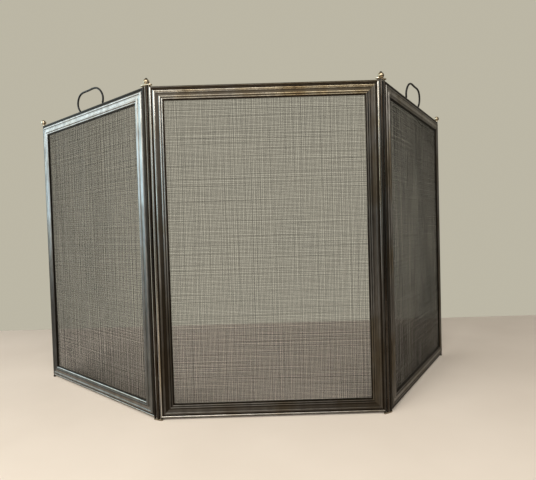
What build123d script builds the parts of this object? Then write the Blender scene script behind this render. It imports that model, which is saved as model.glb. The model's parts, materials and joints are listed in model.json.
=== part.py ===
"""Folding fireplace screen: three equal moulded frames with woven mesh, joined by two link posts.

Millimetres, +Z up, the frames face -Y. The middle frame stands square to Y, and both wings fold back.
Each post carries two pivot rods, so a wing turns about the post and the post turns about the frame.
"""
from build123d import *
import os

# Frames, measured between the axes of their outer beads
FRAME_WIDTH = 509.0
FRAME_HEIGHT = 744.0
LEFT_FOLD_ANGLE = 40.4
RIGHT_FOLD_ANGLE = 56.6

# Moulding section: distances from the outer bead's axis inwards, and heights from the mesh plane
BEAD_RADIUS = 2.8
FACE_WIDTH = 30.5
BACK_DEPTH = 2.6
NECK_FRONT = 1.5
NECK_WIDTH = 8.5
SECOND_BEAD_AT = 8.6
SECOND_BEAD_RADIUS = 3.2
SECOND_BEAD_RISE = 1.9
BAND_FRONT = 3.4
BAND_END = 19.5
COVE_DEPTH = 0.3
COVE_WIDTH = 7.0
THIRD_BEAD_AT = 21.2
THIRD_BEAD_RADIUS = 2.6
THIRD_BEAD_RISE = 3.2
FOURTH_BEAD_AT = 26.0
FOURTH_BEAD_RADIUS = 2.3
FOURTH_BEAD_RISE = 2.6
LIP_FRONT = 1.9
REBATE_START = 17.5

# Mesh and the strips that hold it in the rebate
MESH_THICKNESS = 1.3
MESH_CLEARANCE = 0.1
MESH_EDGE = 22.6
MESH_BORDER = 9.0
MESH_BAR = 2.2
MESH_COLUMNS = 9
MESH_ROWS = 14
STRIP_CLEARANCE = 0.2
STRIP_EDGE = 29.7
RIVET_AT = 20.2
RIVET_RADIUS = 1.2
RIVET_HEAD_RADIUS = 2.2
RIVET_HEAD_HEIGHT = 0.9
RIVET_DEPTH = 2.6
RIVET_CLEARANCE = 0.05
RAIL_RIVETS = 3
STILE_RIVETS = 4

# Posts
PIVOT_SPACING = 18.0
PIVOT_RADIUS = 1.6
PIVOT_CLEARANCE = 0.05
POST_RADIUS = 3.9
STUD_RADIUS = 2.2
FIT_CLEARANCE = 0.03
LINK_WIDTH = 10.6
LINK_THICKNESS = 2.6
FOOT_WIDTH = 5.6
FOOT_THICKNESS = 3.0
COLLAR_RADIUS = 2.5
COLLAR_HEIGHT = 2.0
PLATE_CHAMFER = 0.6
ROD_RECESS = 0.3
RUN_GAP = 0.3
LINK_GAP = 2.2
BALL_RADIUS = 7.2
BALL_SEAT_RADIUS = 4.2
TIP_RADIUS = 3.4
TIP_HEIGHT = 3.0

# Outer ends of the wings
END_BALL_RADIUS = 7.0
END_NECK_RADIUS = 2.7
END_NECK_HEIGHT = 2.6
END_ROD_IN_BALL = 8.0
END_PEG_RADIUS = 3.2
END_SEAT_GAP = 0.1

# Carrying handles
HANDLE_FROM_HINGE = 231.0
HANDLE_FOOT_SPAN = 115.0
HANDLE_BULGE_SPAN = 125.0
HANDLE_BULGE_HEIGHT = 16.0
HANDLE_SHOULDER_SPAN = 104.0
HANDLE_SHOULDER_HEIGHT = 32.0
HANDLE_HEIGHT = 45.0
HANDLE_RADIUS = 2.4
HANDLE_LEAN_ANGLE = 8.0
TENON_RADIUS = 1.5
TENON_DEPTH = 4.6
TENON_CLEARANCE = 0.05

# Heights that follow from the sizes above
FRAME_BOTTOM = FOOT_THICKNESS + COLLAR_HEIGHT + RUN_GAP
FRAME_TOP = FRAME_BOTTOM + FRAME_HEIGHT + 2 * BEAD_RADIUS
LINK_BOTTOM = FRAME_TOP + LINK_GAP
LINK_TOP = LINK_BOTTOM + LINK_THICKNESS
MESH_HALF = MESH_THICKNESS / 2
REBATE_FRONT = MESH_HALF + MESH_CLEARANCE
BORE_RADIUS = PIVOT_RADIUS + PIVOT_CLEARANCE
BASE = (Align.CENTER, Align.CENTER, Align.MIN)


def span_box(low, high):
    """A rectangle given by two corners."""
    size = (high[0] - low[0], high[1] - low[1])
    middle = ((high[0] + low[0]) / 2, (high[1] + low[1]) / 2)
    return Pos(*middle) * Rectangle(*size)


def bead(at, rise, radius):
    """A round bead of the moulding."""
    return Pos(at, rise) * Circle(radius)


def moulding_section():
    """The frame's moulding: X runs inwards from the outer bead's axis and Y to the front."""
    section = bead(0, 0, BEAD_RADIUS)
    section += span_box((0, -BACK_DEPTH), (NECK_WIDTH, NECK_FRONT))
    section += span_box((NECK_WIDTH, -BACK_DEPTH), (BAND_END, BAND_FRONT))
    section += span_box((REBATE_START, -BACK_DEPTH), (FACE_WIDTH, LIP_FRONT))
    cove_radius = (COVE_WIDTH ** 2 / 4 + COVE_DEPTH ** 2) / (2 * COVE_DEPTH)
    cove_middle = (SECOND_BEAD_AT + SECOND_BEAD_RADIUS + THIRD_BEAD_AT - THIRD_BEAD_RADIUS) / 2
    section -= bead(cove_middle, BAND_FRONT - COVE_DEPTH + cove_radius, cove_radius)
    section += bead(SECOND_BEAD_AT, SECOND_BEAD_RISE, SECOND_BEAD_RADIUS)
    section += bead(THIRD_BEAD_AT, THIRD_BEAD_RISE, THIRD_BEAD_RADIUS)
    section += bead(FOURTH_BEAD_AT, FOURTH_BEAD_RISE, FOURTH_BEAD_RADIUS)
    rebate_end = FACE_WIDTH + BEAD_RADIUS
    section -= span_box((REBATE_START, -BACK_DEPTH - BEAD_RADIUS), (rebate_end, REBATE_FRONT))
    return section


def strip_section():
    """The flat strip that fills the back of the rebate behind the mesh."""
    return span_box((REBATE_START + STRIP_CLEARANCE, -BACK_DEPTH), (STRIP_EDGE, -REBATE_FRONT))


def mitred_bar(section, length):
    """A bar along X from 0 to length, its face inwards along +Z, cut at 45 degrees at both ends."""
    reach = 2 * BEAD_RADIUS
    inside = FACE_WIDTH + BEAD_RADIUS
    along = Plane((-reach, 0, 0), x_dir=(0, 0, 1), z_dir=(1, 0, 0))
    bar = extrude(along * section, length + 2 * reach)
    corners = [(-reach, -reach), (length + reach, -reach), (length - inside, inside), (inside, inside)]
    outline = Plane.XZ * make_face(Polyline(*corners, close=True))
    return bar & extrude(outline, 2 * reach, both=True)


def rivet_places(length, count):
    """Even places along a bar, clear of its mitred ends."""
    clear = length - 2 * FACE_WIDTH
    return [FACE_WIDTH + clear * (index + 0.5) / count for index in range(count)]


def rivet():
    """A rivet with its head behind the strip, along -Y from its head."""
    turned_to_back = Rot(90, 0, 0)
    head = Pos(0, 0, -RIVET_HEAD_HEIGHT) * Cylinder(RIVET_HEAD_RADIUS, RIVET_HEAD_HEIGHT, align=BASE)
    shank = Cylinder(RIVET_RADIUS, BACK_DEPTH + RIVET_DEPTH, align=BASE)
    return Pos(0, BACK_DEPTH, 0) * turned_to_back * (head + shank)


def rivet_hole():
    """The hole that a rivet's shank sits in."""
    radius = RIVET_RADIUS + RIVET_CLEARANCE
    depth = 2 * BACK_DEPTH + RIVET_DEPTH + RIVET_CLEARANCE
    return Pos(0, 2 * BACK_DEPTH, 0) * Rot(90, 0, 0) * Cylinder(radius, depth, align=BASE)


SIDES = {
    "bottom_rail": (Pos(0, 0, 0), FRAME_WIDTH, RAIL_RIVETS),
    "right_stile": (Pos(FRAME_WIDTH, 0, 0) * Rot(0, -90, 0), FRAME_HEIGHT, STILE_RIVETS),
    "top_rail": (Pos(FRAME_WIDTH, 0, FRAME_HEIGHT) * Rot(0, 180, 0), FRAME_WIDTH, RAIL_RIVETS),
    "left_stile": (Pos(0, 0, FRAME_HEIGHT) * Rot(0, 90, 0), FRAME_HEIGHT, STILE_RIVETS),
}


def bead_bores():
    """The bores along both stiles' outer beads."""
    height = FRAME_HEIGHT + 4 * BEAD_RADIUS
    bore = Pos(0, 0, -2 * BEAD_RADIUS) * Cylinder(BORE_RADIUS, height, align=BASE)
    return [bore, Pos(FRAME_WIDTH, 0, 0) * bore]


def mesh_net():
    """The mesh, as a flat net with wide gaps inside a plain border."""
    width = FRAME_WIDTH - 2 * MESH_EDGE
    height = FRAME_HEIGHT - 2 * MESH_EDGE
    step_x = (width - 2 * MESH_BORDER + MESH_BAR) / MESH_COLUMNS
    step_z = (height - 2 * MESH_BORDER + MESH_BAR) / MESH_ROWS
    gaps = GridLocations(step_x, step_z, MESH_COLUMNS, MESH_ROWS)
    sheet = Rectangle(width, height) - gaps * Rectangle(step_x - MESH_BAR, step_z - MESH_BAR)
    middle = Plane((FRAME_WIDTH / 2, 0, FRAME_HEIGHT / 2), x_dir=(1, 0, 0), z_dir=(0, -1, 0))
    return extrude(middle * sheet, MESH_HALF, both=True)


def panel():
    """One frame with its mesh, strips and rivets, from its left bead's axis and its lower bead's axis."""
    pieces = {}
    rivets = []
    for name, (place, length, count) in SIDES.items():
        bar = mitred_bar(moulding_section(), length)
        strip = mitred_bar(strip_section(), length)
        for at in rivet_places(length, count):
            spot = Pos(at, 0, RIVET_AT)
            bar -= spot * rivet_hole()
            strip -= spot * rivet_hole()
            rivets.append(place * spot * rivet())
        pieces[name] = place * bar - bead_bores()
        pieces[name.replace("rail", "strip").replace("stile", "strip")] = place * strip
    pieces["mesh"] = mesh_net()
    pieces["rivets"] = Compound(rivets)
    return pieces


def with_handle(pieces, middle):
    """The same frame with a handle on its top rail."""
    holes = [Pos(x, 0, 0) * tenon_hole() for x in handle_feet(middle)]
    stand = Pos(middle, 0, FRAME_HEIGHT + BEAD_RADIUS)
    return {**pieces, "top_rail": pieces["top_rail"] - holes, "handle": stand * handle()}


def handle_feet(middle):
    """Where a handle's two tenons stand along the rail."""
    return [middle - HANDLE_FOOT_SPAN / 2, middle + HANDLE_FOOT_SPAN / 2]


def tenon_hole():
    """The blind hole for a handle's tenon, down from the top of the rail's bead."""
    depth = TENON_DEPTH + TENON_CLEARANCE
    low = FRAME_HEIGHT + BEAD_RADIUS - depth
    return Pos(0, 0, low) * Cylinder(TENON_RADIUS + TENON_CLEARANCE, 2 * depth, align=BASE)


def handle():
    """A bent wire handle, standing on two tenons and leaning a little to the front."""
    foot = HANDLE_RADIUS + TENON_CLEARANCE
    half = [
        (HANDLE_FOOT_SPAN / 2, 0),
        (HANDLE_BULGE_SPAN / 2, HANDLE_BULGE_HEIGHT),
        (HANDLE_SHOULDER_SPAN / 2, HANDLE_SHOULDER_HEIGHT),
    ]
    crown = [(0, HANDLE_HEIGHT - foot - HANDLE_RADIUS)]
    points = half + crown + [(-x, z) for x, z in reversed(half)]
    route = Spline(*[(x, 0, z) for x, z in points])
    wire = sweep(Plane(route @ 0, z_dir=route % 0) * Circle(HANDLE_RADIUS), path=route)
    loop = Pos(0, 0, foot) * Rot(HANDLE_LEAN_ANGLE, 0, 0) * wire
    for x in handle_feet(0):
        loop += Pos(x, 0, foot) * Sphere(HANDLE_RADIUS)
        loop += Pos(x, 0, -TENON_DEPTH) * Cylinder(TENON_RADIUS, TENON_DEPTH + foot, align=BASE)
    return loop


def wing_end():
    """The rod, ball and foot peg at a wing's free edge, on that edge's axis from the floor up."""
    top = FRAME_TOP + END_SEAT_GAP
    ball_at = top + END_NECK_HEIGHT + (END_BALL_RADIUS ** 2 - END_NECK_RADIUS ** 2) ** 0.5
    hole_radius = PIVOT_RADIUS + FIT_CLEARANCE
    ball = Pos(0, 0, ball_at) * Sphere(END_BALL_RADIUS)
    ball += Pos(0, 0, top) * Cylinder(END_NECK_RADIUS, ball_at - top, align=BASE)
    hole_depth = END_ROD_IN_BALL + FIT_CLEARANCE
    ball -= Pos(0, 0, top) * Cylinder(hole_radius, hole_depth, align=BASE)
    peg_height = FRAME_BOTTOM - END_SEAT_GAP
    peg = Cylinder(END_PEG_RADIUS, peg_height, align=BASE)
    peg = chamfer(peg.edges().group_by(Axis.Z)[0], PLATE_CHAMFER)
    peg -= Cylinder(hole_radius, peg_height, align=BASE)
    rod_length = top + END_ROD_IN_BALL - ROD_RECESS
    rod = Pos(0, 0, ROD_RECESS) * Cylinder(PIVOT_RADIUS, rod_length, align=BASE)
    return {"end_rod": rod, "end_ball": ball, "end_peg": peg}


def link_plate(width, thickness):
    """An oblong plate with holes for both pivot rods and the post between them, on the floor."""
    plate = extrude(SlotCenterToCenter(PIVOT_SPACING, width), thickness)
    plate = chamfer(plate.edges().group_by(Axis.Z)[0], PLATE_CHAMFER)
    plate = chamfer(plate.edges().group_by(Axis.Z)[-1], PLATE_CHAMFER)
    for x in (-PIVOT_SPACING / 2, PIVOT_SPACING / 2):
        plate -= Pos(x, 0, 0) * Cylinder(PIVOT_RADIUS + FIT_CLEARANCE, thickness, align=BASE)
    plate -= Cylinder(STUD_RADIUS + FIT_CLEARANCE, thickness, align=BASE)
    return plate


def post():
    """A post with its plates, ball and pivot rods: the middle rod on Z, the frame's pivot at -X."""
    ball_at = LINK_TOP + (BALL_RADIUS ** 2 - BALL_SEAT_RADIUS ** 2) ** 0.5
    ball_top = ball_at + (BALL_RADIUS ** 2 - TIP_RADIUS ** 2) ** 0.5
    ball_height = ball_top - LINK_TOP
    ball = Pos(0, 0, ball_at) * Sphere(BALL_RADIUS)
    ball &= Pos(0, 0, LINK_TOP) * Cylinder(2 * BALL_RADIUS, ball_height, align=BASE)
    ball -= Pos(0, 0, LINK_TOP) * Cylinder(STUD_RADIUS + FIT_CLEARANCE, ball_height, align=BASE)
    rod = Pos(0, 0, FOOT_THICKNESS) * Cylinder(POST_RADIUS, LINK_BOTTOM - FOOT_THICKNESS, align=BASE)
    rod += Pos(0, 0, ROD_RECESS) * Cylinder(STUD_RADIUS, ball_top - ROD_RECESS, align=BASE)
    dome_radius = (TIP_RADIUS ** 2 + TIP_HEIGHT ** 2) / (2 * TIP_HEIGHT)
    dome = Pos(0, 0, ball_top + TIP_HEIGHT - dome_radius) * Sphere(dome_radius)
    rod += dome & Pos(0, 0, ball_top) * Cylinder(BALL_RADIUS, BALL_RADIUS, align=BASE)
    pivot_height = LINK_TOP - 2 * ROD_RECESS
    pivot = Pos(0, 0, ROD_RECESS) * Cylinder(PIVOT_RADIUS, pivot_height, align=BASE)
    pivot += Pos(0, 0, FOOT_THICKNESS) * Cylinder(COLLAR_RADIUS, COLLAR_HEIGHT, align=BASE)
    return {
        "post_rod": rod,
        "post_ball": ball,
        "top_link": Pos(0, 0, LINK_BOTTOM) * link_plate(LINK_WIDTH, LINK_THICKNESS),
        "foot_link": link_plate(FOOT_WIDTH, FOOT_THICKNESS),
        "frame_pivot": Pos(-PIVOT_SPACING / 2, 0, 0) * pivot,
        "wing_pivot": Pos(PIVOT_SPACING / 2, 0, 0) * pivot,
    }


def assembly():
    """Every piece in place, with the middle frame's centre line on the Z axis."""
    parts = {}
    half = FRAME_WIDTH / 2
    lift = FRAME_BOTTOM + BEAD_RADIUS

    def add(prefix, place, pieces):
        for name, shape in pieces.items():
            parts[f"{prefix}_{name}"] = place * shape

    frame = panel()
    add("centre", Pos(-half, 0, lift), frame)
    for side, sign, fold in (("left", -1, LEFT_FOLD_ANGLE), ("right", 1, RIGHT_FOLD_ANGLE)):
        turn = sign * fold
        frame_axis = Pos(sign * half, 0, 0)
        post_turn = Rot(0, 0, turn / 2)
        post_place = frame_axis * post_turn * Pos(sign * PIVOT_SPACING / 2, 0, 0)
        facing = Rot(0, 0, 0) if sign > 0 else Rot(0, 0, 180)
        add(side, post_place * facing, post())
        wing_axis = frame_axis * post_turn * Pos(sign * PIVOT_SPACING, 0, 0) * Rot(0, 0, turn / 2)
        hinge_x = 0 if sign > 0 else FRAME_WIDTH
        wing = with_handle(frame, hinge_x + sign * HANDLE_FROM_HINGE)
        add(side, wing_axis * Pos(-hinge_x, 0, lift), wing)
        add(side, wing_axis * Pos(sign * FRAME_WIDTH, 0, 0), wing_end())
        print(side, "frame pivot", frame_axis.position, "wing pivot", wing_axis.position)
    return parts


def main():
    """Moves the origin to the middle of the footprint on the floor and writes each piece."""
    parts = assembly()
    box = Compound(list(parts.values())).bounding_box()
    middle = box.center()
    print("shift", -middle.X, -middle.Y, "size", box.size)
    os.makedirs("parts", exist_ok=True)
    for name, shape in parts.items():
        export_step(Pos(-middle.X, -middle.Y, 0) * shape, f"parts/{name}.step")


main()
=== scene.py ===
# %% [markdown]
# # A folding fireplace screen
# Three moulded steel frames stand side by side on two hinge posts, and each frame holds a sheet of woven wire.
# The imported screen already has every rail, post, ball and handle at its true size, so this script leaves those
# shapes alone. It gives them their finishes, weaves the wire sheets, and sets up the light and the camera.

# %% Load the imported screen
import json
import math

import bmesh
import bpy
import numpy as np
from mathutils import Matrix, Vector, noise


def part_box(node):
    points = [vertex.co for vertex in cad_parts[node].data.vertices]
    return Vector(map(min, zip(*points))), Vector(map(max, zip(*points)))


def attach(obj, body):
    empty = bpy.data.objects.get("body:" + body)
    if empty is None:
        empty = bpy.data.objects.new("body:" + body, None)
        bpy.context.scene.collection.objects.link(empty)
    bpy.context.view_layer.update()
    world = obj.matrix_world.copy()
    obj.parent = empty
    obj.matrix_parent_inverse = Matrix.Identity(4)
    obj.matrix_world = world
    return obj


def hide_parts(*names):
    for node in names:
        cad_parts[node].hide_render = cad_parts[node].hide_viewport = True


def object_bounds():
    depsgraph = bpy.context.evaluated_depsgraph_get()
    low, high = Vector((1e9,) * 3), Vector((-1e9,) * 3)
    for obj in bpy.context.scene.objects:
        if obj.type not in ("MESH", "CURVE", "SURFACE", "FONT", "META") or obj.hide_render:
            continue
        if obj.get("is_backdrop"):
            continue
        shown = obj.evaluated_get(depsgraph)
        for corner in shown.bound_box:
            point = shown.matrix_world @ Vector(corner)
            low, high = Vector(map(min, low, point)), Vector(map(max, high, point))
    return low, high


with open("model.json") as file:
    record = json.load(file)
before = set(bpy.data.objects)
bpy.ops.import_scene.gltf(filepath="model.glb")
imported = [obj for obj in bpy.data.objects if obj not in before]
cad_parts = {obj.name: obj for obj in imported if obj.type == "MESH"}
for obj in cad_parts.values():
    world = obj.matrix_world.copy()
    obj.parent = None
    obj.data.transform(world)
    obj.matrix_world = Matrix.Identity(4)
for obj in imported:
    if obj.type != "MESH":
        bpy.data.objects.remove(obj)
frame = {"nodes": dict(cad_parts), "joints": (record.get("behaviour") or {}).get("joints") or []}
packed_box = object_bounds()
print("pieces in the packed screen:", len(frame["nodes"]))

# %% [markdown]
# ## Where the three frames stand
# Each frame turns on a hinge line that the record gives. A post's two hinge lines show how far its wing is folded:
# the post turns half the way and the wing turns the other half. Reading the fold from the record, and not typing
# it in again, keeps the wire sheets in their frames if the screen is ever packed at another fold.

# %% Read the hinge lines and the folds
hinge = {joint["name"]: Vector(joint["pos_m"]) for joint in frame["joints"]}
left_edge, right_edge = hinge["left_post_on_frame"], hinge["right_post_on_frame"]
frame_width = (right_edge - left_edge).length
screen_middle = (left_edge + right_edge) / 2


def fold_of(side):
    across_post = hinge[f"{side}_wing_on_post"] - hinge[f"{side}_post_on_frame"]
    return 2 * math.atan2(across_post.y, abs(across_post.x))


def stand(corner, turn):
    return Matrix.Translation(corner) @ Matrix.Rotation(turn, 4, "Z")


left_fold, right_fold = fold_of("left"), fold_of("right")
along_left_wing = Vector((math.cos(left_fold), -math.sin(left_fold), 0))
turn_of = {"centre": 0.0, "left": -left_fold, "right": right_fold}
stands = {
    "centre": stand(left_edge, turn_of["centre"]),
    "left": stand(hinge["left_wing_on_post"] - frame_width * along_left_wing, turn_of["left"]),
    "right": stand(hinge["right_wing_on_post"], turn_of["right"]),
}
body_of = {"centre": "centre_frame", "left": "left_wing", "right": "right_wing"}
print(f"folds: left {math.degrees(left_fold):.1f}, right {math.degrees(right_fold):.1f} degrees")

# %% [markdown]
# ## The camera
# The photograph was taken from about a metre in front of the middle frame, a little above half its height, with a
# wide lens and the camera tilted a degree or two. Those numbers were found by matching the frames' corners.

# %% Set up the camera
CAMERA_OFFSET = Vector((-0.0022, -1.0033, 0.4338))
FOCAL_PIXELS, IMAGE_WIDTH = 445.35, 536
SENSOR_WIDTH = 36
CAMERA_DOWN, CAMERA_YAW, CAMERA_ROLL = math.radians(1.67), math.radians(-0.06), math.radians(-1.68)

lens = bpy.data.cameras.new("camera")
lens.sensor_fit = "HORIZONTAL"
lens.sensor_width = SENSOR_WIDTH
lens.lens = FOCAL_PIXELS * SENSOR_WIDTH / IMAGE_WIDTH
camera = bpy.data.objects.new("camera", lens)
camera.matrix_world = (
    Matrix.Translation(screen_middle + CAMERA_OFFSET)
    @ Matrix.Rotation(CAMERA_YAW, 4, "Z")
    @ Matrix.Rotation(math.pi / 2 - CAMERA_DOWN, 4, "X")
    @ Matrix.Rotation(CAMERA_ROLL, 4, "Z")
)
bpy.context.scene.collection.objects.link(camera)
bpy.context.scene.camera = camera
bpy.context.scene.view_settings.view_transform = "Standard"
print(f"camera with a {lens.lens:.1f} mm lens")

# %% [markdown]
# ## Patterns for finishes
# Every finish is a Principled shader with a few noise patterns behind its colour, roughness and bump. The patterns
# read Object coordinates, which are metres here. A Mapping node of the TEXTURE kind first turns them to a bar's
# own direction and then divides them by the size of a streak, so a streak's length and width are plain metres too.

# %% Start a finish and draw streaks on it
def new_finish(name):
    finish = bpy.data.materials.new(name)
    finish.use_nodes = True
    return finish, finish.node_tree.nodes, finish.node_tree.links, finish.node_tree.nodes["Principled BSDF"]


def streaks(nodes, links, size, turn=0.0, detail=3.0, offset=(0, 0, 0)):
    place = nodes.new("ShaderNodeTexCoord")
    mapping = nodes.new("ShaderNodeMapping")
    mapping.vector_type = "TEXTURE"
    mapping.inputs["Location"].default_value = offset
    mapping.inputs["Rotation"].default_value = (0, 0, turn)
    mapping.inputs["Scale"].default_value = size
    pattern = nodes.new("ShaderNodeTexNoise")
    pattern.inputs["Scale"].default_value = 1.0
    pattern.inputs["Detail"].default_value = detail
    links.new(place.outputs["Object"], mapping.inputs["Vector"])
    links.new(mapping.outputs["Vector"], pattern.inputs["Vector"])
    return pattern.outputs["Fac"]


print("patterns are drawn in metres")

# %% [markdown]
# ## From a pattern to a colour, a roughness or a bump
# A pattern is a number between 0 and 1 at each place. A colour ramp turns it into a colour, and a Map Range node
# turns it into a roughness: most of a noise pattern lies between 0.3 and 0.7, so that part is stretched over the
# whole range. The same pattern can also raise the surface a little, through a Bump node.

# %% Turn patterns into colours
NOISE_LOW, NOISE_HIGH = 0.3, 0.7


def ramp(nodes, links, value, stops):
    colours = nodes.new("ShaderNodeValToRGB")
    elements = colours.color_ramp.elements
    while len(elements) < len(stops):
        elements.new(0.5)
    for element, (position, colour) in zip(elements, stops):
        element.position = position
        element.color = (*colour, 1.0)
    links.new(value, colours.inputs["Fac"])
    return colours.outputs["Color"]


def blend_colours(nodes, links, kind, share, first, second):
    mix = nodes.new("ShaderNodeMix")
    mix.data_type = "RGBA"
    mix.blend_type = kind
    if isinstance(share, float):
        mix.inputs["Factor"].default_value = share
    else:
        links.new(share, mix.inputs["Factor"])
    for value, socket in ((first, mix.inputs["A"]), (second, mix.inputs["B"])):
        if isinstance(value, tuple):
            socket.default_value = (*value, 1.0)
        else:
            links.new(value, socket)
    return mix.outputs["Result"]


def spread(nodes, links, value, low, high):
    map_range = nodes.new("ShaderNodeMapRange")
    map_range.inputs["From Min"].default_value = NOISE_LOW
    map_range.inputs["From Max"].default_value = NOISE_HIGH
    map_range.inputs["To Min"].default_value = low
    map_range.inputs["To Max"].default_value = high
    links.new(value, map_range.inputs["Value"])
    return map_range.outputs["Result"]


def bump(nodes, links, height, distance, strength, shader):
    bumps = nodes.new("ShaderNodeBump")
    bumps.inputs["Distance"].default_value = distance
    bumps.inputs["Strength"].default_value = strength
    links.new(height, bumps.inputs["Height"])
    links.new(bumps.outputs["Normal"], shader.inputs["Normal"])


print("patterns between", NOISE_LOW, "and", NOISE_HIGH, "fill a finish's whole range")

# %% [markdown]
# ## Sums inside a finish
# Some finishes need to know where a point lies, and that takes sums in the node tree. A Math node does one sum, and
# a Map Range node says how far a value has come between two limits. With a smooth step the change has no visible
# edge, so it suits dirt that thins out along a bar.

# %% Helpers for sums
def math_node(nodes, links, operation, *values):
    step = nodes.new("ShaderNodeMath")
    step.operation = operation
    for value, socket in zip(values, step.inputs):
        if isinstance(value, float):
            socket.default_value = value
        else:
            links.new(value, socket)
    return step.outputs["Value"]


def between(nodes, links, value, low, high):
    share = nodes.new("ShaderNodeMapRange")
    share.inputs["From Min"].default_value = low
    share.inputs["From Max"].default_value = high
    links.new(value, share.inputs["Value"])
    return share.outputs["Result"]


def fade(nodes, links, value, reach, ends):
    map_range = nodes.new("ShaderNodeMapRange")
    map_range.interpolation_type = "SMOOTHSTEP"
    map_range.inputs["From Min"].default_value = -reach
    map_range.inputs["From Max"].default_value = reach
    map_range.inputs["To Min"].default_value = ends[0]
    map_range.inputs["To Max"].default_value = ends[1]
    links.new(value, map_range.inputs["Value"])
    return map_range.outputs["Result"]


print("sums are ready")

# %% [markdown]
# ## Wear and painted light across the moulding
# The moulding is polished steel that has darkened with age. Handling keeps the crests of its beads bright, and soot
# and brown patina stay in the coves and grooves. The profiles also paint light and shade on it: the dark quirks,
# grooves and inner lip are painted shade as well as soot, and the share of bright metal is raised where reflections
# are painted. A mask could be painted by hand, but the grooves run parallel to the frame's outer edge, so the
# distance from that edge is enough. Each profile lists that distance, in millimetres from the outer bead's axis, with
# the share of bright metal there.

# %% List the profiles of wear and painted light
# Middle frame, left stile: the dark quirks, grooves and lip are soot and painted shade.
STILE_WEAR_AND_LIGHT = [
    (-2.9, 0.04), (-1.8, 0.06), (-1.0, 0.9), (0.6, 0.9), (1.4, 0.1), (2.4, 0.0), (4.8, 0.0), (5.6, 1.0),
    (10.2, 1.0), (11.2, 0.14), (12.4, 0.06), (17.6, 0.06), (18.4, 0.02), (19.4, 0.85), (22.4, 0.85), (23.4, 0.04),
    (24.4, 0.8), (26.9, 0.8), (27.9, 0.0), (30.5, 0.0),
]
# Middle frame, right stile: painted shade keeps all of it dim except the outer bead.
DIM_WEAR_AND_LIGHT = [
    (-2.9, 0.9), (1.8, 0.9), (2.4, 0.0), (4.8, 0.0), (5.6, 0.14), (10.2, 0.14), (12.4, 0.1), (18.4, 0.1),
    (19.4, 0.14), (22.4, 0.16), (23.4, 0.04), (24.4, 0.2), (26.9, 0.2), (27.9, 0.02), (30.5, 0.02),
]
# Middle frame, top rail: the upper flank of the second bead is painted dark as shade, besides the dark quirks and
# lip.
TOP_WEAR_AND_LIGHT = [
    (-2.9, 0.2), (-0.5, 0.16), (1.4, 0.14), (2.2, 0.0), (7.6, 0.0), (8.6, 0.95), (11.6, 0.95), (12.6, 0.16),
    (13.4, 0.08), (17.6, 0.1), (18.6, 0.1), (19.8, 0.75), (22.8, 0.75), (23.7, 0.06), (24.7, 0.55), (27.0, 0.55),
    (27.9, 0.0), (30.5, 0.0),
]
# Bottom rails: the groove near 19 to 20 mm is painted dark as shade. On the left wing the inner lip is painted bright
# where it faces up into the light; the middle frame's copy is dimmer.
FOOT_WEAR_AND_LIGHT = [
    (-2.9, 0.04), (-0.9, 0.04), (-0.2, 1.0), (1.4, 1.0), (2.2, 0.0), (5.6, 0.0), (6.8, 0.45), (10.0, 0.45),
    (11.2, 0.4), (18.0, 0.42), (18.8, 0.0), (20.4, 0.0), (21.6, 0.2), (23.7, 0.2), (25.4, 0.2), (26.2, 0.9),
    (28.0, 0.9), (28.6, 0.04), (30.5, 0.04),
]
DIM_FOOT_WEAR_AND_LIGHT = [
    (-2.9, 0.04), (-0.9, 0.04), (-0.2, 1.0), (1.4, 1.0), (2.2, 0.0), (5.6, 0.0), (6.8, 0.2), (10.0, 0.2),
    (11.2, 0.14), (18.0, 0.16), (18.8, 0.0), (20.4, 0.0), (21.6, 0.14), (23.7, 0.14), (25.4, 0.14), (27.4, 0.2),
    (28.6, 0.02), (30.5, 0.02),
]
# Left wing: painted reflection. Even the grooves are nearly as bright as the crests, so the window's image fills the
# whole moulding.
WEAR_AND_WINDOW_SHEEN = [
    (-2.9, 0.05), (1.6, 0.05), (2.4, 0.02), (4.4, 0.05), (5.2, 1.0), (9.0, 1.0), (11.0, 0.8), (13.0, 0.8),
    (15.0, 1.0), (19.6, 1.0), (23.0, 1.0), (23.8, 0.8), (24.6, 1.0), (27.4, 1.0), (28.4, 0.05), (30.5, 0.0),
]
# Right wing: painted shade. The moulding has an even, dim share, with a dark quirk and lip.
EVEN_WEAR_AND_SHADE = [
    (-2.9, 0.06), (1.6, 0.06), (2.4, 0.02), (4.4, 0.02), (5.2, 0.35), (11.0, 0.35), (12.0, 0.75), (18.0, 0.75),
    (19.0, 0.45), (27.2, 0.45), (28.2, 0.02), (30.5, 0.0),
]
print("profiles reach in mm:", STILE_WEAR_AND_LIGHT[0][0], "to", STILE_WEAR_AND_LIGHT[-1][0])

# %% [markdown]
# ## Wear and painted light along each bar
# Each of the twelve bars picks a profile, and the three frames get lit and shaded copies of the steel: the left wing,
# which reflects the window, is painted bright, while the right wing and the right stile of the middle frame are
# painted dim as shade. Each bar also says how its share changes along it. A rail has one share at its left end and
# one at its right. A stile has its full share at the top and another share at the foot, and its outer bead and its
# face can differ there. Some bars also have a tint, which is a painted reflection: bluer on the left wing's stiles,
# warmer on its top rail, and a warm golden one towards the right end of the middle frame's top rail.

# %% Say how each bar is worn and where light and shade are painted on it
# The right wing's bottom rail gets painted shade: its share is less than half that of the wing's upper bars.
RIGHT_FOOT_WEAR_AND_SHADE = 0.45
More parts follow.
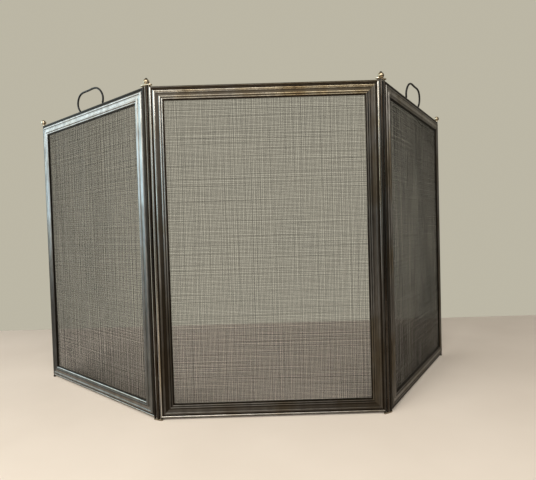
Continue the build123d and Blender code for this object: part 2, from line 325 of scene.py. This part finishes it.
# Left wing: painted reflection of the window. Right wing and the middle frame's right stile: painted shade.
wear_and_light_of = {("left", "bottom_rail"): FOOT_WEAR_AND_LIGHT, ("centre", "bottom_rail"): DIM_FOOT_WEAR_AND_LIGHT}
upper_bars = ("left_stile", "right_stile", "top_rail")
wear_and_light_of |= {("left", bar): WEAR_AND_WINDOW_SHEEN for bar in upper_bars}
wear_and_light_of |= {("right", bar): EVEN_WEAR_AND_SHADE for bar in upper_bars}
wear_and_light_of["right", "bottom_rail"] = [(at, RIGHT_FOOT_WEAR_AND_SHADE * share) for at, share in EVEN_WEAR_AND_SHADE]
wear_and_light_of |= {("centre", bar): wear_and_light for bar, wear_and_light in zip(upper_bars, (STILE_WEAR_AND_LIGHT, DIM_WEAR_AND_LIGHT, TOP_WEAR_AND_LIGHT))}

EVEN_WEAR = (1.0, 1.0)
# Painted shade along the middle frame's rails: the top rail is dimmed, a little more towards the right, and the
# bottom rail is half as bright at its right end.
RAIL_WEAR_AND_SHADE_AT_ENDS = {("centre", "top_rail"): (0.82, 0.75), ("centre", "bottom_rail"): (1.0, 0.5)}
# Share at each stile's foot, for its outer bead and its face. Below 1 it is painted shade at the foot; above 1 the
# face of the middle frame's right stile is painted brighter there.
BEAD_AND_FACE_AT_FOOT = {
    ("left", "left_stile"): (0.15, 0.15),
    ("left", "right_stile"): (0.35, 0.35),
    ("centre", "left_stile"): (1.0, 0.12),
    ("centre", "right_stile"): (0.1, 1.4),
    ("right", "left_stile"): (0.6, 0.6),
    ("right", "right_stile"): (0.6, 0.6),
}
# Painted reflection tints, with their share at the bar's two ends: the window's blue on the left wing's stiles, a
# warmer tone on its top rail, and a warm golden tint that grows towards the right on the middle frame's top rail.
REFLECTED_TINT_AND_ENDS = {
    ("centre", "top_rail"): ((1.0, 0.90, 0.70), (0.25, 1.0)),
    ("left", "top_rail"): ((1.0, 0.925, 0.905), (1.0, 1.0)),
    ("left", "left_stile"): ((0.95, 0.99, 1.05), (1.0, 1.0)),
    ("left", "right_stile"): ((0.92, 0.99, 1.06), (1.0, 1.0)),
}
print("bars with a profile:", len(wear_and_light_of))

# %% [markdown]
# ## Finding a point's place on its frame
# A Mapping node moves the origin of the Object coordinates to the middle of a frame and turns them to its fold.
# Then X runs along the rails and Z along the stiles, both from the middle, and the outer beads' axes lie half the
# frame's width and half its height away.

# %% Measure the frames and find their axes
BEAD_RADIUS = 0.0028
MM_IN_METRE = 1000
rail_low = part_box("centre_bottom_rail")[0].z + BEAD_RADIUS
rail_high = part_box("centre_top_rail")[1].z - BEAD_RADIUS
half_width, half_height = frame_width / 2, (rail_high - rail_low) / 2


def frame_centre(side):
    return stands[side] @ Vector((half_width, 0, (rail_low + rail_high) / 2))


def frame_axes(nodes, links, side):
    place = nodes.new("ShaderNodeTexCoord")
    centred = nodes.new("ShaderNodeMapping")
    centred.vector_type = "TEXTURE"
    centred.inputs["Location"].default_value = frame_centre(side)
    centred.inputs["Rotation"].default_value = (0, 0, turn_of[side])
    axes = nodes.new("ShaderNodeSeparateXYZ")
    links.new(place.outputs["Object"], centred.inputs["Vector"])
    links.new(centred.outputs["Vector"], axes.inputs["Vector"])
    return axes.outputs


print(f"frames between bead axes: {2 * half_width * MM_IN_METRE:.1f} x {2 * half_height * MM_IN_METRE:.1f} mm")

# %% [markdown]
# ## The share of bright metal
# Half the frame's size less the distance from the middle is the distance from the outer bead's axis. A colour ramp
# over that distance is the profile, and its value is multiplied by the share along the bar; both hold wear and
# painted light and shade.

# %% Turn a bar's wear and painted light into a share of bright metal
BEAD_EDGE = 0.0024


# Painted shade along a bar: a rail's share changes from end to end, a stile's towards its foot.
def wear_and_light_along(nodes, links, side, bar, axes, from_edge):
    if bar.endswith("rail"):
        return fade(nodes, links, axes["X"], half_width, RAIL_WEAR_AND_SHADE_AT_ENDS.get((side, bar), EVEN_WEAR))
    bead_foot, face_foot = BEAD_AND_FACE_AT_FOOT[side, bar]
    on_bead = math_node(nodes, links, "LESS_THAN", from_edge, BEAD_EDGE)
    foot = math_node(nodes, links, "MULTIPLY_ADD", on_bead, bead_foot - face_foot, face_foot)
    change = math_node(nodes, links, "SUBTRACT", foot, 1.0)
    below = fade(nodes, links, axes["Z"], half_height / 2, (1.0, 0.0))
    return math_node(nodes, links, "MULTIPLY_ADD", change, below, 1.0)


# The share of bright metal holds wear and soot together with painted light and shade.
def wear_and_light_share(nodes, links, side, bar):
    upright, profile = bar.endswith("stile"), wear_and_light_of[side, bar]
    axes = frame_axes(nodes, links, side)
    from_middle = math_node(nodes, links, "ABSOLUTE", axes["X" if upright else "Z"])
    from_edge = math_node(nodes, links, "SUBTRACT", half_width if upright else half_height, from_middle)
    start, end = profile[0][0] / MM_IN_METRE, profile[-1][0] / MM_IN_METRE
    from_start = math_node(nodes, links, "SUBTRACT", from_edge, start)
    share = math_node(nodes, links, "DIVIDE", from_start, end - start)
    stops = [((at / MM_IN_METRE - start) / (end - start), (shade, shade, shade)) for at, shade in profile]
    along = wear_and_light_along(nodes, links, side, bar, axes, from_edge)
    return math_node(nodes, links, "MULTIPLY", ramp(nodes, links, share, stops), along)


print("stiles with a wear of their own at the foot:", len(BEAD_AND_FACE_AT_FOOT))

# %% [markdown]
# ## The steel of the frames
# Bright steel and a dark colour, which is soot and painted shade together, are mixed by the share of wear and painted
# light. Long streaks along the bar vary the polish, blotches bring the brown patina, and a patchy pattern breaks up
# the edge between bright and dark. A faint waviness along the bar makes the highlights wander, as on real rolled
# moulding. Every bar gets a steel of its own, because bars differ in direction, in wear and in the light painted on
# them.

# %% Make the frame steels
# The dark colour is soot and also the painted shade in quirks, grooves and lip.
SOOT_AND_SHADE, SOOT_DULLNESS = (0.018, 0.0135, 0.009), 0.28
BRIGHT_STEEL = [(0.3, (0.32, 0.305, 0.28)), (0.7, (0.58, 0.56, 0.52))]
BROWN_PATINA = [(0.46, (1.0, 1.0, 1.0)), (0.62, (0.80, 0.72, 0.58)), (0.74, (0.55, 0.46, 0.36))]
PATINA_SHARE = {"left": 0.35, "centre": 1.0, "right": 1.0}
POLISH = {"left": (0.28, 0.36), "centre": (0.15, 0.24), "right": (0.15, 0.24)}
BLOTCH_SIZE, BLOTCH_OFFSET = (0.06, 0.06, 0.10), (0.3, 0.1, 0.2)
PATCH_SIZE, PATCH_WEAR = (0.012, 0.012, 0.03), (0.7, 1.15)
STREAK_WIDTH, STREAK_LENGTH = 0.003, 0.25
WAVE_WIDTH, WAVE_LENGTH = 0.014, 0.13


def along_bar(width, length, upright):
    return (width, width, length) if upright else (length, width, width)


def frame_steel(side, bar):
    finish, nodes, links, shader = new_finish(f"{side}_{bar}_steel")
    turn, upright = turn_of[side], bar.endswith("stile")
    streak_size = along_bar(STREAK_WIDTH, STREAK_LENGTH, upright)
    wave_size = along_bar(WAVE_WIDTH, WAVE_LENGTH, upright)
    long_streaks = streaks(nodes, links, streak_size, turn, detail=4.0)
    blotches = streaks(nodes, links, BLOTCH_SIZE, turn, detail=5.0, offset=BLOTCH_OFFSET)
    bright = ramp(nodes, links, long_streaks, BRIGHT_STEEL)
    patina = ramp(nodes, links, blotches, BROWN_PATINA)
    aged = blend_colours(nodes, links, "MULTIPLY", PATINA_SHARE[side], bright, patina)
    # Painted reflection: a tint that colours what the bar reflects.
    if (side, bar) in REFLECTED_TINT_AND_ENDS:
        tint, ends = REFLECTED_TINT_AND_ENDS[side, bar]
        along = fade(nodes, links, frame_axes(nodes, links, side)["X"], half_width / 2, ends)
        aged = blend_colours(nodes, links, "MULTIPLY", along, aged, tint)
    patchy = spread(nodes, links, streaks(nodes, links, PATCH_SIZE, turn, detail=4.0), *PATCH_WEAR)
    # Soot and painted shade where the share is low, bright steel where it is high.
    wear_and_light = math_node(nodes, links, "MULTIPLY", wear_and_light_share(nodes, links, side, bar), patchy)
    links.new(blend_colours(nodes, links, "MIX", wear_and_light, SOOT_AND_SHADE, aged), shader.inputs["Base Color"])
    shader.inputs["Metallic"].default_value = 1.0
    polish = spread(nodes, links, long_streaks, *POLISH["centre" if bar == "bottom_rail" else side])
    soot_and_shade = math_node(nodes, links, "SUBTRACT", 1.0, wear_and_light)
    dullness = math_node(nodes, links, "MULTIPLY", soot_and_shade, SOOT_DULLNESS)
    links.new(math_node(nodes, links, "ADD", polish, dullness), shader.inputs["Roughness"])
    waves = streaks(nodes, links, wave_size, turn, detail=2.0)
    bump(nodes, links, waves, distance=0.0004, strength=0.3, shader=shader)
    return finish


steel_of = {(side, bar): frame_steel(side, bar) for side, bar in wear_and_light_of}
print("frame steels:", len(steel_of))

# %% [markdown]
# ## The backs of the frames
# The strips and rivets behind the frames were never polished, so they are dull and a little rusty. Blotches of a
# few centimetres are enough for the colour, and a fine grain gives the surface its roughness.

# %% Make the back steel
RUST_STOPS = [(0.35, (0.16, 0.145, 0.13)), (0.6, (0.10, 0.08, 0.065)), (0.75, (0.13, 0.07, 0.04))]


def back_steel():
    finish, nodes, links, shader = new_finish("back_steel")
    blotches = streaks(nodes, links, size=(0.03, 0.03, 0.03), detail=6.0)
    links.new(ramp(nodes, links, blotches, RUST_STOPS), shader.inputs["Base Color"])
    shader.inputs["Metallic"].default_value = 0.85
    links.new(spread(nodes, links, blotches, low=0.42, high=0.62), shader.inputs["Roughness"])
    grain = streaks(nodes, links, size=(0.002, 0.002, 0.002), detail=4.0)
    bump(nodes, links, grain, distance=0.0002, strength=0.3, shader=shader)
    return finish


finish_of_slot = {"back_steel": back_steel()}
print("finish:", finish_of_slot["back_steel"].name)

# %% [markdown]
# ## The posts and rods
# The posts are drawn rod, and the drawing leaves fine lines along them. The steel is dark, and brown in places, but
# still smooth enough to carry sharp highlights.

# %% Make the rod steel
DRAWN_STEEL = [(0.3, (0.028, 0.024, 0.020)), (0.7, (0.075, 0.066, 0.056))]
ROD_PATINA = [(0.4, (1.0, 1.0, 1.0)), (0.68, (0.5, 0.4, 0.3))]


def rod_steel():
    finish, nodes, links, shader = new_finish("rod_steel")
    draw_lines = streaks(nodes, links, size=(0.0015, 0.0015, 0.12), detail=4.0)
    blotches = streaks(nodes, links, size=(0.05, 0.05, 0.05), detail=5.0)
    steel = ramp(nodes, links, draw_lines, DRAWN_STEEL)
    patina = ramp(nodes, links, blotches, ROD_PATINA)
    links.new(blend_colours(nodes, links, "MULTIPLY", 1.0, steel, patina), shader.inputs["Base Color"])
    shader.inputs["Metallic"].default_value = 1.0
    links.new(spread(nodes, links, blotches, low=0.2, high=0.34), shader.inputs["Roughness"])
    bump(nodes, links, draw_lines, distance=0.0002, strength=0.25, shader=shader)
    return finish


finish_of_slot["rod_steel"] = rod_steel()
print("finish:", finish_of_slot["rod_steel"].name)

# %% [markdown]
# ## The brass
# The balls and the plates of the posts are brass with brown tarnish and small dark specks. The foot plates lie on
# the floor, and their brass is dark over its lowest millimetre or two as a painted contact shadow.

# %% Make the brass
BRASS_STOPS = [(0.38, (0.58, 0.51, 0.39)), (0.7, (0.31, 0.235, 0.14))]
SPECK_STOPS, SPECK_SHARE = [(0.3, (0.4, 0.33, 0.25)), (0.45, (1.0, 1.0, 1.0))], 0.5
# Painted contact shadow under the foot plates: its colour and the heights over which it fades.
CONTACT_SHADOW_BRASS, CONTACT_SHADOW_FROM, CONTACT_SHADOW_TO = (0.10, 0.08, 0.055), 0.0008, 0.0026


def aged_brass():
    finish, nodes, links, shader = new_finish("aged_brass")
    tarnish = streaks(nodes, links, size=(0.008, 0.008, 0.008), detail=5.0)
    specks = streaks(nodes, links, size=(0.0012, 0.0012, 0.0012), detail=3.0)
    brass = ramp(nodes, links, tarnish, BRASS_STOPS)
    dark_specks = ramp(nodes, links, specks, SPECK_STOPS)
    speckled = blend_colours(nodes, links, "MULTIPLY", SPECK_SHARE, brass, dark_specks)
    # Painted contact shadow: dark below 0.8 mm, fading out by 2.6 mm.
    place = nodes.new("ShaderNodeTexCoord")
    axes = nodes.new("ShaderNodeSeparateXYZ")
    links.new(place.outputs["Object"], axes.inputs["Vector"])
    out_of_shadow = between(nodes, links, axes.outputs["Z"], CONTACT_SHADOW_FROM, CONTACT_SHADOW_TO)
    links.new(blend_colours(nodes, links, "MIX", out_of_shadow, CONTACT_SHADOW_BRASS, speckled), shader.inputs["Base Color"])
    shader.inputs["Metallic"].default_value = 1.0
    links.new(spread(nodes, links, tarnish, low=0.16, high=0.34), shader.inputs["Roughness"])
    bump(nodes, links, specks, distance=0.0001, strength=0.2, shader=shader)
    return finish


finish_of_slot["brass"] = aged_brass()
print("finish:", finish_of_slot["brass"].name)

# %% [markdown]
# ## The handles
# The handles are black iron from the forge. Scale covers the metal, so it is not a mirror: the shader is a dark
# dull one with a weak highlight, and the scale's pattern roughens it.

# %% Make the black iron
SCALE_STOPS = [(0.35, (0.008, 0.0075, 0.007)), (0.7, (0.022, 0.02, 0.018))]


def black_iron():
    finish, nodes, links, shader = new_finish("black_iron")
    scale = streaks(nodes, links, size=(0.006, 0.006, 0.006), detail=5.0)
    links.new(ramp(nodes, links, scale, SCALE_STOPS), shader.inputs["Base Color"])
    shader.inputs["Metallic"].default_value = 0.0
    shader.inputs["Specular IOR Level"].default_value = 0.2
    links.new(spread(nodes, links, scale, low=0.4, high=0.6), shader.inputs["Roughness"])
    bump(nodes, links, scale, distance=0.0005, strength=0.4, shader=shader)
    return finish


finish_of_slot["black_iron"] = black_iron()
print("finish:", finish_of_slot["black_iron"].name)

# %% [markdown]
# ## The wire
# The wire is dark steel with smudges of soot, each about as large as a hand. A single wire is too thin to show a
# bump, so it has none.

# %% Make the wire's finish
SMUDGE_STOPS = [(0.35, (0.046, 0.039, 0.029)), (0.65, (0.018, 0.0153, 0.0112))]


def mesh_wire():
    finish, nodes, links, shader = new_finish("mesh_wire")
    smudges = streaks(nodes, links, size=(0.11, 0.11, 0.16), detail=4.0)
    links.new(ramp(nodes, links, smudges, SMUDGE_STOPS), shader.inputs["Base Color"])
    shader.inputs["Metallic"].default_value = 0.6
    links.new(spread(nodes, links, smudges, low=0.38, high=0.55), shader.inputs["Roughness"])
    return finish


finish_of_slot["mesh_wire"] = mesh_wire()
print("finishes beside the frame steels:", sorted(finish_of_slot))

# %% [markdown]
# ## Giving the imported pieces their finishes
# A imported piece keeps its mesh, and only its material slot changes. The names tell what each piece is, so the right
# finish is picked by the name.

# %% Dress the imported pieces
def finish_for(name):
    side, part = name.split("_", 1)
    if part.endswith(("rail", "stile")):
        return steel_of[side, part]
    if part.endswith(("strip", "rivets")):
        return finish_of_slot["back_steel"]
    if part.endswith(("ball", "link")):
        return finish_of_slot["brass"]
    if part == "handle":
        return finish_of_slot["black_iron"]
    if part == "mesh":
        return finish_of_slot["mesh_wire"]
    return finish_of_slot["rod_steel"]


for name, piece in frame["nodes"].items():
    piece.data.materials.clear()
    piece.data.materials.append(finish_for(name))
print("dressed pieces:", len(frame["nodes"]))

# %% [markdown]
# ## The size of a wire sheet
# A fireguard mesh is plain weave: upright wires and cross wires pass over and under each other at every crossing.
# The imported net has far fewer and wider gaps. It stands in for the sheet in the motion model and is replaced here.
# The net's box gives the sheet's size, less a small margin, and the wires share it out evenly.

# %% Measure the sheet
UPRIGHTS, CROSSES = 160, 252
SHEET_MARGIN = 0.002

net_low, net_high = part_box("centre_mesh")
sheet_low = stands["centre"].inverted() @ net_low + Vector((SHEET_MARGIN, 0, SHEET_MARGIN))
sheet_high = stands["centre"].inverted() @ net_high - Vector((SHEET_MARGIN, 0, SHEET_MARGIN))
sheet_width, sheet_height = sheet_high.x - sheet_low.x, sheet_high.z - sheet_low.z
sheet_depth = (sheet_low.y + sheet_high.y) / 2
step_across, step_up = sheet_width / UPRIGHTS, sheet_height / CROSSES
print(f"wire spacing: {step_across * MM_IN_METRE:.2f} mm across, {step_up * MM_IN_METRE:.2f} mm up")

# %% [markdown]
# ## From one wire to many
# One wire is a three-sided rod that is extruded from crossing to crossing, swinging forwards and back. A second wire
# swings the other way, and the pair is repeated across the sheet. A round rod along a curve would look smoother, but
# three sides are enough for a wire that is thinner than a pixel, and they keep each piece small.

# %% Weaving helpers
WIRE_RADIUS, WIRE_SWING = 0.00043, 0.00028
WIRE_SIDES = 3


def grow_wire(crossings, step, swing):
    wire = bmesh.new()
    bmesh.ops.create_circle(wire, cap_ends=True, segments=WIRE_SIDES, radius=WIRE_RADIUS)
    bmesh.ops.rotate(wire, verts=wire.verts, matrix=Matrix.Rotation(math.pi, 3, "Z"))
    bmesh.ops.translate(wire, verts=wire.verts, vec=(0, swing, 0))
    tip = wire.faces[:]
    for _ in range(crossings - 1):
        grown = bmesh.ops.extrude_face_region(wire, geom=tip)["geom"]
        tip = [part for part in grown if isinstance(part, bmesh.types.BMFace)]
        ring = [part for part in grown if isinstance(part, bmesh.types.BMVert)]
        swing = -swing
        bmesh.ops.translate(wire, verts=ring, vec=(0, 2 * swing, step))
    return wire


def repeat_wire(wire, count, step):
    other = bmesh.ops.duplicate(wire, geom=wire.verts[:] + wire.edges[:] + wire.faces[:])["geom"]
    verts = [part for part in other if isinstance(part, bmesh.types.BMVert)]
    bmesh.ops.scale(wire, verts=verts, vec=(1, -1, 1))
    bmesh.ops.translate(wire, verts=verts, vec=(step, 0, 0))
    bmesh.ops.spin(
        wire, geom=wire.verts[:] + wire.edges[:] + wire.faces[:], cent=(0, 0, 0), axis=(0, 0, 1),
        dvec=(2 * step, 0, 0), angle=0.0, steps=count // 2 - 1, use_duplicate=True,
    )
    bmesh.ops.recalc_face_normals(wire, faces=wire.faces)
    return wire


print(f"wire: {2 * WIRE_RADIUS * MM_IN_METRE:.2f} mm thick, with {WIRE_SIDES} sides")

# %% [markdown]
# ## Uneven wires in a sheet that isn't quite flat
# In a sheet this old some wires have been pushed together and others apart. A noise pattern that changes quickly
# from one wire to the next, and slowly along a wire, does that. It is read on the wire's own line, so a wire shifts
# with its whole thickness. The sheet also bulges a little between its edges, which stay in the frame.

# %% Helpers for unevenness
WEAVE_DRIFT, NARROW_PATCH, LONG_PATCH = 0.0019, 0.005, 0.25
ACROSS_LAYER, UPWARDS_LAYER = 0, 5
BULGE, FIRST_WAVE, SECOND_WAVE = 0.0016, (5, 3), (-2, 4)


def nearest_wire(place, low, step):
    return low + (math.floor((place - low) / step) + 0.5) * step


def unevenness(x, z):
    x, z = nearest_wire(x, sheet_low.x, step_across), nearest_wire(z, sheet_low.z, step_up)
    across = WEAVE_DRIFT * noise.noise(Vector((x / NARROW_PATCH, z / LONG_PATCH, ACROSS_LAYER)))
    upwards = WEAVE_DRIFT * noise.noise(Vector((x / LONG_PATCH, z / NARROW_PATCH, UPWARDS_LAYER)))
    return across, upwards


def sag(x, z):
    u, v = (x - sheet_low.x) / sheet_width, (z - sheet_low.z) / sheet_height
    from_edges = math.sin(math.pi * min(max(u, 0), 1)) * math.sin(math.pi * min(max(v, 0), 1))
    first = math.sin(FIRST_WAVE[0] * u + FIRST_WAVE[1] * v)
    second = math.cos(SECOND_WAVE[0] * u + SECOND_WAVE[1] * v)
    return BULGE * from_edges * first * second


print(f"wires drift by up to {WEAVE_DRIFT * MM_IN_METRE:.1f} mm, bulge up to {BULGE * MM_IN_METRE:.1f} mm")

# %% [markdown]
# ## From wires to a mesh
# The wires are shifted into place and turned into a mesh. Its texture map is the sheet seen from the front, a little
# smaller than the map's square so that no wire touches its edge. Unwrapping every wire would take long and gain
# nothing, since the smudges run across the sheet and not round a wire.

# %% Helper that finishes a set of wires
MAP_ROOM, MAP_EDGE = 1.01, 0.003


def finished_wires(name, wires):
    for vert in wires.verts:
        across, upwards = unevenness(vert.co.x, vert.co.z)
        vert.co += Vector((across, sheet_depth + sag(vert.co.x, vert.co.z), upwards))
    mesh = bpy.data.meshes.new(name)
    wires.to_mesh(mesh)
    wires.free()
    mesh.shade_smooth()
    places = np.zeros(len(mesh.vertices) * 3, np.float32)
    mesh.vertices.foreach_get("co", places)
    corner = np.zeros(len(mesh.loops), np.int32)
    mesh.loops.foreach_get("vertex_index", corner)
    flat = places.reshape(-1, 3)[corner][:, [0, 2]] - np.array([sheet_low.x, sheet_low.z])
    flat /= MAP_ROOM * sheet_height
    mesh.uv_layers.new(name="OFBake").data.foreach_set("uv", flat.astype(np.float32).ravel() + MAP_EDGE)
    mesh.materials.append(finish_of_slot["mesh_wire"])
    return mesh


print(f"the sheet fills {100 / MAP_ROOM:.0f} % of its map's height")

# %% [markdown]
# ## The four sets of wires
# A sheet is made of four pieces, two for each direction, so that none of them grows too large. The cross wires are
# grown upright as well and then laid on their side, starting with the opposite swing, so that they pass under where
# the upright wires pass over.

# %% Weave the sets
def upright_wires(half):
    wires = repeat_wire(grow_wire(CROSSES, step_up, WIRE_SWING), UPRIGHTS // 2, step_across)
    start = (sheet_low.x + (half * UPRIGHTS / 2 + 0.5) * step_across, 0, sheet_low.z + 0.5 * step_up)
    bmesh.ops.translate(wires, verts=wires.verts, vec=start)
    return wires


def cross_wires(half):
    wires = repeat_wire(grow_wire(UPRIGHTS, step_across, -WIRE_SWING), CROSSES // 2, step_up)
    bmesh.ops.rotate(wires, verts=wires.verts, matrix=Matrix(((0, 0, 1), (0, 1, 0), (1, 0, 0))))
    bmesh.ops.reverse_faces(wires, faces=wires.faces)
    start = (sheet_low.x + 0.5 * step_across, 0, sheet_low.z + (half * CROSSES / 2 + 0.5) * step_up)
    bmesh.ops.translate(wires, verts=wires.verts, vec=start)
    return wires


wire_sets = [
    finished_wires("upright_wires_left", upright_wires(0)),
    finished_wires("upright_wires_right", upright_wires(1)),
    finished_wires("cross_wires_low", cross_wires(0)),
    finished_wires("cross_wires_high", cross_wires(1)),
]
triangles = [sum(len(face.vertices) - 2 for face in mesh.polygons) for mesh in wire_sets]
print("triangles in each set of wires:", triangles)

# %% [markdown]
# ## Hanging the sheets
# The three frames are equal, so one sheet serves for all of them. Each frame gets a copy that is carried to its
# place, rides on the frame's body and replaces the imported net.

# %% Hang a copy in each frame
for side, place in stands.items():
    for wire_set in wire_sets:
        piece_mesh = wire_set.copy()
        piece_mesh.transform(place)
        piece = bpy.data.objects.new(f"{side}_{wire_set.name}", piece_mesh)
        bpy.context.scene.collection.objects.link(piece)
        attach(piece, body_of[side])
        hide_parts(f"{side}_mesh")
print("pieces of wire hung:", len(stands) * len(wire_sets))

# %% [markdown]
# ## The floor
# The screen stands on a pale plain floor whose far edge is a metre behind it. The floor is one flat face and belongs
# to the stage, not to the screen. Broad faint blotches keep it from looking like paper.

# %% Lay the floor
FLOOR_BEHIND, FLOOR_FRONT = 1.0, 1.4
FLOOR_HALF_WIDTH = 1.6
PALE_STOPS = [(0.3, (0.80, 0.715, 0.625)), (0.7, (0.86, 0.775, 0.685))]

floor_mesh = bmesh.new()
bmesh.ops.create_grid(floor_mesh, x_segments=1, y_segments=1, size=1.0)
floor_halves = (FLOOR_HALF_WIDTH, (FLOOR_BEHIND + FLOOR_FRONT) / 2, 1)
bmesh.ops.scale(floor_mesh, verts=floor_mesh.verts, vec=floor_halves)
floor_middle = (screen_middle.x, screen_middle.y + (FLOOR_BEHIND - FLOOR_FRONT) / 2, 0)
bmesh.ops.translate(floor_mesh, verts=floor_mesh.verts, vec=floor_middle)
floor = bpy.data.objects.new("floor", bpy.data.meshes.new("floor"))
floor_mesh.to_mesh(floor.data)
floor_mesh.free()

floor_finish, nodes, links, shader = new_finish("pale_floor")
blotches = streaks(nodes, links, size=(0.35, 0.35, 0.35), detail=3.0)
links.new(ramp(nodes, links, blotches, PALE_STOPS), shader.inputs["Base Color"])
shader.inputs["Roughness"].default_value = 0.9
floor.data.materials.append(floor_finish)
bpy.context.scene.collection.objects.link(floor)
floor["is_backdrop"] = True
print(f"floor: {2 * FLOOR_HALF_WIDTH:.1f} x {FLOOR_BEHIND + FLOOR_FRONT:.1f} m")

# %% [markdown]
# ## The room in front of the screen
# Steel only shows what is around it, so the surround matters as much as the lamps. A picture of a room could be
# wrapped round the screen, but a few levels are enough here. They go by the direction of a ray: dark low down,
# brightest a little above eye level, dim overhead, and brighter on the left than on the right.

# %% Build the room's levels
ROOM_LEVELS = [(-0.30, 0.08), (-0.03, 0.12), (0.12, 0.42), (0.26, 0.80), (0.50, 0.72), (0.80, 0.32), (1.0, 0.20)]
ROOM_SIDES, ROOM_ENDS = (-0.5, 0.5), (1.2, 0.5)
ROOM_TINT = (1.0, 0.95, 0.86)

world = bpy.data.worlds.new("surround")
bpy.context.scene.world = world
world.use_nodes = True
nodes, links = world.node_tree.nodes, world.node_tree.links
direction = nodes.new("ShaderNodeTexCoord")
split = nodes.new("ShaderNodeSeparateXYZ")
links.new(direction.outputs["Generated"], split.inputs["Vector"])
lowest, highest = ROOM_LEVELS[0][0], ROOM_LEVELS[-1][0]
levels = [
    ((z - lowest) / (highest - lowest), tuple(level * part for part in ROOM_TINT)) for z, level in ROOM_LEVELS
]
ends = [(at, (level, level, level)) for at, level in zip((0.0, 1.0), ROOM_ENDS)]
sideways = ramp(nodes, links, between(nodes, links, split.outputs["X"], *ROOM_SIDES), ends)
upwards = ramp(nodes, links, between(nodes, links, split.outputs["Z"], lowest, highest), levels)
room = blend_colours(nodes, links, "MULTIPLY", 1.0, upwards, sideways)
print("levels in the room:", len(levels))

# %% [markdown]
# ## The backdrop
# Behind the screen lies a plain grey-green backdrop, which is in shade at the right. The camera and the steel see it
# as bright as it is, but it lights the floor much less. A surround has no end, so at full brightness it would light
# the floor behind the screen more than a real backdrop does.

# %% Put the backdrop behind the screen
BACKDROP_COLOUR = (0.50, 0.47, 0.375)
BACKDROP_SHADE = (0.27, 0.245, 0.20)
BACKDROP_LIGHT = (0.09, 0.085, 0.07)
BACKDROP_STARTS, SHADE_STARTS = (0.12, 0.45), (0.56, 0.72)

behind = between(nodes, links, split.outputs["Y"], *BACKDROP_STARTS)
to_right = between(nodes, links, split.outputs["X"], *SHADE_STARTS)
backdrop = blend_colours(nodes, links, "MIX", to_right, BACKDROP_COLOUR, BACKDROP_SHADE)
shown = blend_colours(nodes, links, "MIX", behind, room, backdrop)
lighting = blend_colours(nodes, links, "MIX", behind, room, BACKDROP_LIGHT)
rays = nodes.new("ShaderNodeLightPath")
seen = math_node(nodes, links, "MAXIMUM", rays.outputs["Is Camera Ray"], rays.outputs["Is Glossy Ray"])
seen = math_node(nodes, links, "MAXIMUM", seen, rays.outputs["Is Transmission Ray"])
links.new(blend_colours(nodes, links, "MIX", seen, lighting, shown), nodes["Background"].inputs["Color"])
print("backdrop colour:", BACKDROP_COLOUR)

# %% [markdown]
# ## The lamps
# A wide cool lamp on the left stands for a window, whose image runs along the left wing's moulding. It shows only in
# reflections. A second lamp, further forward and warmer, gives the window's light to the floor and the wire and shows
# in no reflection. The third lamp hangs high in front, lights the floor, and draws the fine lines on the beads.

# %% Hang the lamps
def soft_lamp(name, spot, aim, size, brightness, colour):
    lamp = bpy.data.lights.new(name, "AREA")
    lamp.shape = "RECTANGLE"
    lamp.size, lamp.size_y = size
    lamp.energy = brightness * math.pi * size[0] * size[1]
    lamp.color = colour
    lamp_object = bpy.data.objects.new(name, lamp)
    lamp_object.location = spot
    lamp_object.rotation_euler = (Vector(aim) - Vector(spot)).to_track_quat("-Z", "Y").to_euler()
    bpy.context.scene.collection.objects.link(lamp_object)
    return lamp_object


window_image = soft_lamp(
    "window_image", spot=(-2.5, -0.2, 1.3), aim=(-0.4, -0.2, 1.3),
    size=(4.6, 1.82), brightness=2.1, colour=(0.62, 0.87, 1.0),
)
window_light = soft_lamp(
    "window_light", spot=(-2.1, -2.0, 1.0), aim=(0.0, -0.2, 0.1),
    size=(2.0, 1.4), brightness=5.2, colour=(1.0, 0.965, 0.90),
)
front_top = soft_lamp(
    "front_top", spot=(-0.2, -2.3, 2.0), aim=(0.0, 0.0, 0.3),
    size=(3.0, 1.4), brightness=5.5, colour=(1.0, 0.955, 0.88),
)
window_image.visible_diffuse = False
window_light.visible_glossy = False
print("lamps:", [lamp.name for lamp in (window_image, window_light, front_top)])

# %% [markdown]
# ## Checking the size
# The looks must not change the screen's size, so the box of the imported screen and the box of the dressed one are
# compared, and the change in size is printed.

# %% Compare both boxes
dressed_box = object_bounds()
packed_size, dressed_size = packed_box[1] - packed_box[0], dressed_box[1] - dressed_box[0]
print("size change in mm:", [round(MM_IN_METRE * (a - b), 2) for a, b in zip(dressed_size, packed_size)])
